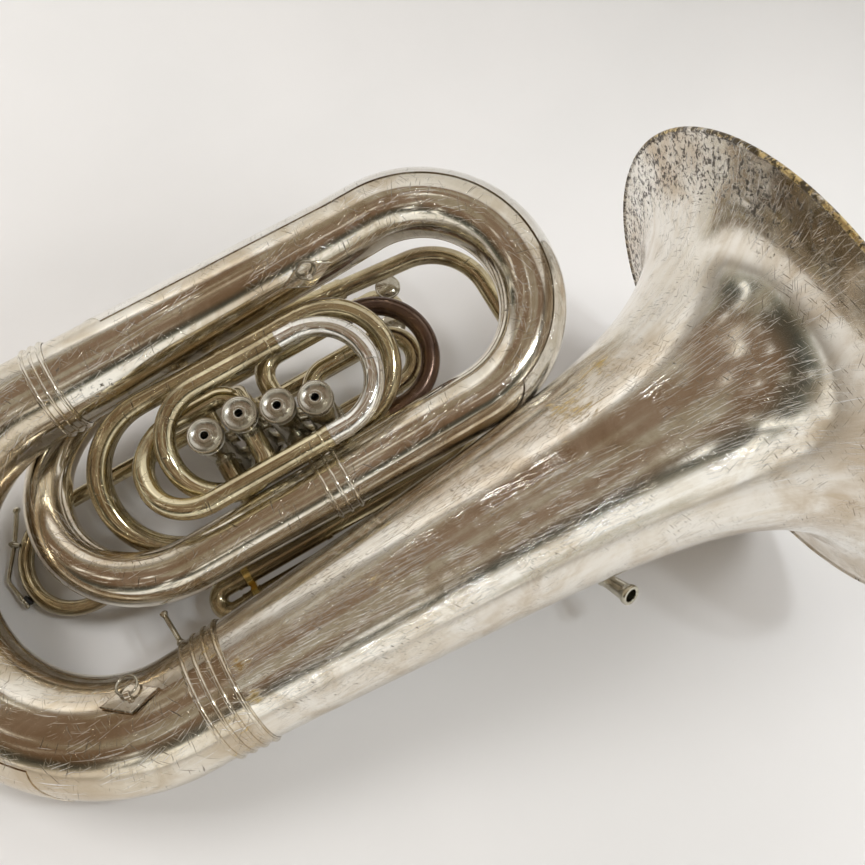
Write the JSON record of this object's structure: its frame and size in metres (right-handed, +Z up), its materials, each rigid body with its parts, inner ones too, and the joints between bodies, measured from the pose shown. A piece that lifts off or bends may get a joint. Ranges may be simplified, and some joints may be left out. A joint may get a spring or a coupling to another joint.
{
  "type": "tuba",
  "caption": "Silver-plated tuba with front-action piston valves, lying on its side with its bell raised, worn and scratched with brass tuning slides.",
  "frame": {"origin": "centre of the bounding box at the floor the horn lies on", "axes": "+X towards the bell mouth, +Y across the body from the bell to the outer branch, +Z up"},
  "size_m": [0.9038, 0.6338, 0.4891],
  "materials": {
    "worn_silver": "worn silver plate over brass, scratched and tarnished",
    "bright_silver": "bright silver plate with fine scratches",
    "dull_brass": "dull oxidised brass",
    "yellow_brass": "bare yellow brass",
    "nickel": "satin nickel silver",
    "spring_steel": "drawn wire",
    "rubber": "black rubber"
  },
  "bodies": {
    "horn": {"bell_stem": "worn_silver", "bell_throat": "worn_silver", "bell_flare": "worn_silver", "bell_ferrule": "worn_silver", "bottom_bow": "worn_silver", "bottom_bow_guard": "worn_silver", "outer_ferrule": "worn_silver", "outer_branch": "worn_silver", "top_bow": "worn_silver", "top_bow_return": "worn_silver", "top_bow_guard": "bright_silver", "inner_branch": "worn_silver", "inner_bow": "worn_silver", "inner_bow_return": "worn_silver", "inner_ferrule": "worn_silver", "third_branch": "dull_brass", "upper_crook": "dull_brass", "third_upper_crook": "yellow_brass", "third_lower_crook": "worn_silver", "fourth_crook": "dull_brass", "rear_outer_tube": "dull_brass", "rear_inner_tube": "dull_brass", "main_slide_tube": "dull_brass", "main_slide_clamp": "yellow_brass", "valve_4_casing": "nickel", "valve_3_casing": "nickel", "valve_2_casing": "nickel", "valve_1_casing": "nickel", "valve_4_bottom_cap": "nickel", "valve_4_top_cap": "nickel", "valve_4_spring": "spring_steel", "valve_3_bottom_cap": "nickel", "valve_3_top_cap": "nickel", "valve_3_spring": "spring_steel", "valve_2_bottom_cap": "nickel", "valve_2_top_cap": "nickel", "valve_2_spring": "spring_steel", "valve_1_bottom_cap": "nickel", "valve_1_top_cap": "nickel", "valve_1_spring": "spring_steel", "leadpipe": "dull_brass", "mouthpiece_receiver": "nickel", "water_key_saddle": "nickel", "lower_strap_plate": "worn_silver", "upper_strap_plate": "worn_silver", "bow_brace": "nickel"},
    "third_slide": {"third_slide_bow": "bright_silver"},
    "fourth_slide": {"fourth_slide_bow": "dull_brass"},
    "second_slide": {"second_slide_bow": "dull_brass"},
    "first_slide": {"first_slide_bow": "dull_brass"},
    "rear_slide": {"rear_slide_bow": "dull_brass"},
    "main_slide": {"main_slide_bow": "dull_brass"},
    "piston_1": {"valve_1_piston": "nickel"},
    "piston_2": {"valve_2_piston": "nickel"},
    "piston_3": {"valve_3_piston": "nickel"},
    "piston_4": {"valve_4_piston": "nickel"},
    "water_key_lever": {"water_key": "nickel", "water_key_tip": "rubber"},
    "lower_ring": {"lower_strap_ring": "nickel"},
    "upper_ring": {"upper_strap_ring": "nickel"}
  },
  "joints": [
    {"name": "third_slide_pull", "type": "slide", "parent": "horn", "child": "third_slide", "axis": [0.9654, 0, 0.2608], "range_m": [0, 0.045]},
    {"name": "fourth_slide_pull", "type": "slide", "parent": "horn", "child": "fourth_slide", "axis": [0.9654, 0, 0.2608], "range_m": [0, 0.05]},
    {"name": "second_slide_pull", "type": "slide", "parent": "horn", "child": "second_slide", "axis": [0.9654, 0, 0.2608], "range_m": [0, 0.035]},
    {"name": "first_slide_pull", "type": "slide", "parent": "horn", "child": "first_slide", "axis": [0.9654, 0, 0.2608], "range_m": [0, 0.025]},
    {"name": "rear_slide_pull", "type": "slide", "parent": "horn", "child": "rear_slide", "axis": [0.9654, 0, 0.2608], "range_m": [0, 0.048]},
    {"name": "main_slide_pull", "type": "slide", "parent": "horn", "child": "main_slide", "axis": [-0.9654, 0, -0.2608], "range_m": [0, 0.055]},
    {"name": "valve_1_press", "type": "slide", "parent": "horn", "child": "piston_1", "axis": [-0.2576, -0.1546, 0.9538], "range_m": [0, 0.018], "stiffness_N_per_m": 250, "springref_m": -0.02, "deforming": ["valve_1_spring"]},
    {"name": "valve_2_press", "type": "slide", "parent": "horn", "child": "piston_2", "axis": [-0.2576, -0.1546, 0.9538], "range_m": [0, 0.018], "stiffness_N_per_m": 250, "springref_m": -0.02, "deforming": ["valve_2_spring"]},
    {"name": "valve_3_press", "type": "slide", "parent": "horn", "child": "piston_3", "axis": [-0.2576, -0.1546, 0.9538], "range_m": [0, 0.018], "stiffness_N_per_m": 250, "springref_m": -0.02, "deforming": ["valve_3_spring"]},
    {"name": "valve_4_press", "type": "slide", "parent": "horn", "child": "piston_4", "axis": [-0.2576, -0.1546, 0.9538], "range_m": [0, 0.018], "stiffness_N_per_m": 250, "springref_m": -0.02, "deforming": ["valve_4_spring"]},
    {"name": "water_key_press", "type": "hinge", "parent": "horn", "child": "water_key_lever", "pos_m": [-0.31837, 0.18977, 0.01047], "axis": [0.2576, 0.1546, -0.9538], "range_deg": [0, 15], "stiffness_Nm_per_rad": 0.25, "springref_deg": -14.32},
    {"name": "lower_ring_swing", "type": "hinge", "parent": "horn", "child": "lower_ring", "pos_m": [-0.27192, -0.03656, 0.13027], "axis": [0.9527, -0.2054, 0.224], "range_deg": [0, 110]},
    {"name": "upper_ring_swing", "type": "hinge", "parent": "horn", "child": "upper_ring", "pos_m": [0.03306, 0.23036, 0.22457], "axis": [0.9654, 0, 0.2608], "range_deg": [0, 110]}
  ]
}
